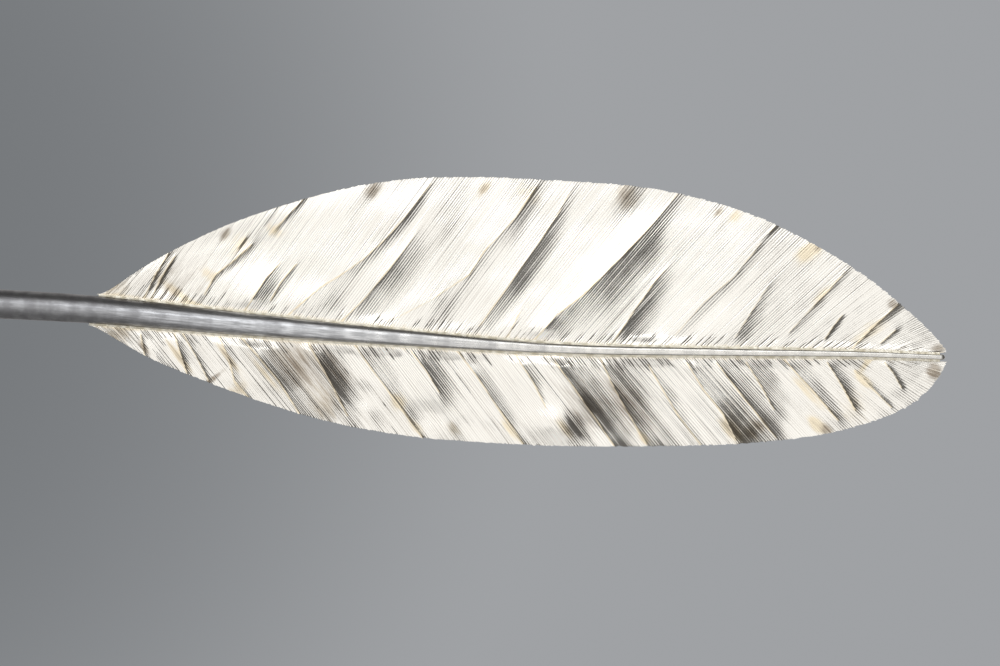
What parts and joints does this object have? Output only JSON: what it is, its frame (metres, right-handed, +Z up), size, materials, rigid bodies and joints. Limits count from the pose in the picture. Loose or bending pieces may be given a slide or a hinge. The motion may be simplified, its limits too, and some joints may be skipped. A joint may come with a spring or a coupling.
{
  "type": "metal feather ornament",
  "caption": "Life-size metal feather: a round tapered quill with a scored sheet vane soldered to each side, held by its plain stem end.",
  "frame": {"origin": "centre of the flat cut end of the stem", "axes": "+X along the feather from the stem's cut end to the tip, +Y towards the back of the vane, +Z up across the vane to its wider half"},
  "size_m": [0.272, 0.0074, 0.0632],
  "materials": {
    "quill_silver": "burnished silver with soft planishing marks",
    "vane_silver": "white silver scored with fine barb lines, warm tarnish along the creases and edges",
    "solder": "grainy pickled silver solder, slightly yellow"
  },
  "bodies": {
    "root": {"quill_tube": "quill_silver", "stem_plug": "quill_silver", "tip_spine": "quill_silver", "back_seam": "solder", "upper_solder_seam": "solder", "lower_solder_seam": "solder", "upper_vane": "vane_silver", "lower_vane": "vane_silver"}
  },
  "joints": []
}
